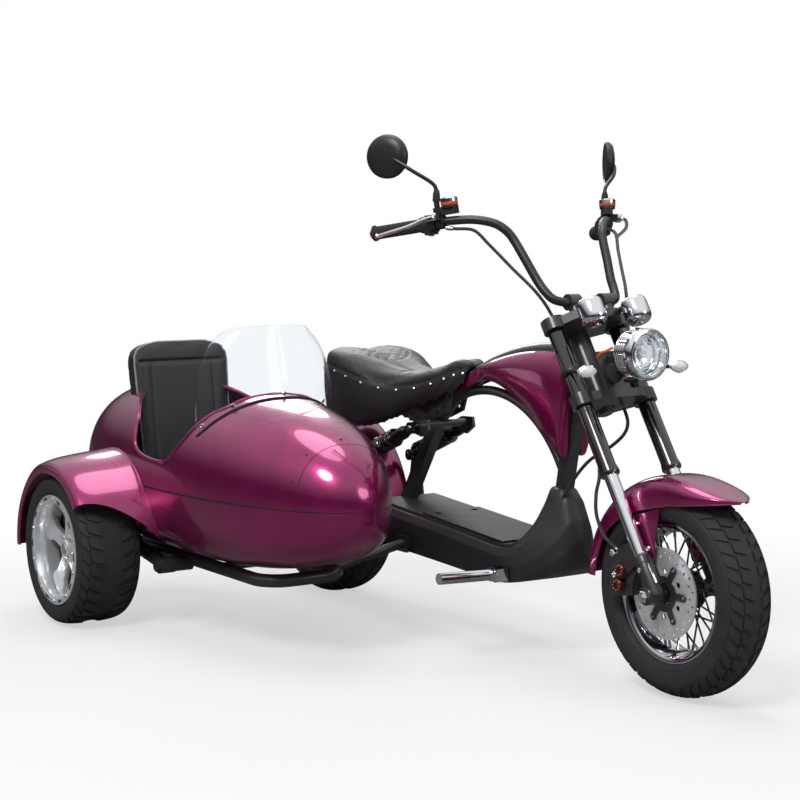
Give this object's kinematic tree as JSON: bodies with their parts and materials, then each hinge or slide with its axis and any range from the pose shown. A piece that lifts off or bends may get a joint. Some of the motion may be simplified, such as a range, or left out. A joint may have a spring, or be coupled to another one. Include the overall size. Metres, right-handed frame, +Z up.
{
  "type": "sidecar motorcycle",
  "caption": "Chopper-style electric scooter with raked fork, high handlebar and solo saddle, carrying an egg-shaped one-seat sidecar with its own wheel and windscreen.",
  "frame": {"origin": "on the ground, at the middle of the footprint box (front tyre to sidecar tail, left mirror to sidecar fender)", "axes": "+X forward, +Y to the rider's left (the sidecar stands on -Y), +Z up"},
  "size_m": [2.1184, 1.2935, 1.298],
  "materials": {
    "aluminium": "machined aluminium",
    "battery_case": "sealed battery case",
    "black_leather": "black stitched leather",
    "black_plastic": "moulded black plastic",
    "brushed_steel": "stainless steel",
    "chrome": "polished chrome",
    "clear_plastic": "clear acrylic",
    "lamp_lens": "red lamp lens",
    "magenta_paint": "metallic magenta under clear lacquer",
    "mirror_glass": "black mirror housing",
    "painted_frame": "satin black powder coat",
    "rubber": "black rubber",
    "tyre": "black tyre rubber"
  },
  "bodies": {
    "chassis": {"main_frame": "painted_frame", "floor_pan": "black_plastic", "battery_block": "battery_case", "tank_panels": "magenta_paint", "saddle": "black_leather", "saddle_bracket": "painted_frame", "swingarm": "painted_frame", "rear_shocks": "painted_frame", "rear_fender": "magenta_paint", "tail_light": "lamp_lens", "foot_pegs": "chrome", "rear_caliper": "painted_frame", "wiring_loop": "rubber", "sidecar_chassis": "painted_frame", "sidecar_body_upper": "magenta_paint", "sidecar_body_lower": "magenta_paint", "sidecar_nose": "magenta_paint", "sidecar_seat": "black_leather", "sidecar_seat_back": "black_leather", "windscreen": "clear_plastic", "sidecar_fender": "magenta_paint", "sidecar_swingarm": "painted_frame", "sidecar_shock": "painted_frame"},
    "battery_lid": {"battery_lid": "black_plastic"},
    "rear_wheel": {"rear_tyre": "tyre", "rear_rim": "painted_frame", "rear_disc": "brushed_steel"},
    "sidecar_wheel": {"sidecar_tyre": "tyre", "sidecar_rim": "aluminium"},
    "front_wheel": {"front_tyre": "tyre", "front_rim": "chrome", "front_disc": "brushed_steel"},
    "steering": {"fork_clamps": "painted_frame", "fork_tubes": "painted_frame", "fork_legs": "chrome", "handlebar": "painted_frame", "grips": "rubber", "brake_levers": "aluminium", "switch_gear": "black_plastic", "mirrors": "mirror_glass", "headlight": "chrome", "gauges": "chrome", "turn_signals": "black_plastic", "front_fender": "magenta_paint", "front_caliper": "painted_frame", "control_cables": "rubber"}
  },
  "joints": [
    {"name": "steering", "type": "hinge", "parent": "chassis", "child": "steering", "pos_m": [0.79382, 0.26279, 0.22953], "axis": [-0.5373, 0, 0.8434], "range_deg": [-35, 35], "deforming": ["wiring_loop"]},
    {"name": "front_wheel_spin", "type": "hinge", "parent": "steering", "child": "front_wheel", "pos_m": [0.81575, 0.26279, 0.2435], "axis": [0, 1, 0], "continuous": true},
    {"name": "rear_wheel_spin", "type": "hinge", "parent": "chassis", "child": "rear_wheel", "pos_m": [-0.70425, 0.26279, 0.2435], "axis": [0, 1, 0], "continuous": true},
    {"name": "sidecar_wheel_spin", "type": "hinge", "parent": "chassis", "child": "sidecar_wheel", "pos_m": [-0.69925, -0.54921, 0.2045], "axis": [0, 1, 0], "continuous": true},
    {"name": "battery_lid_hinge", "type": "hinge", "parent": "chassis", "child": "battery_lid", "pos_m": [0.25075, 0.26279, 0.28238], "axis": [0, 1, 0], "range_deg": [0, 45]}
  ]
}
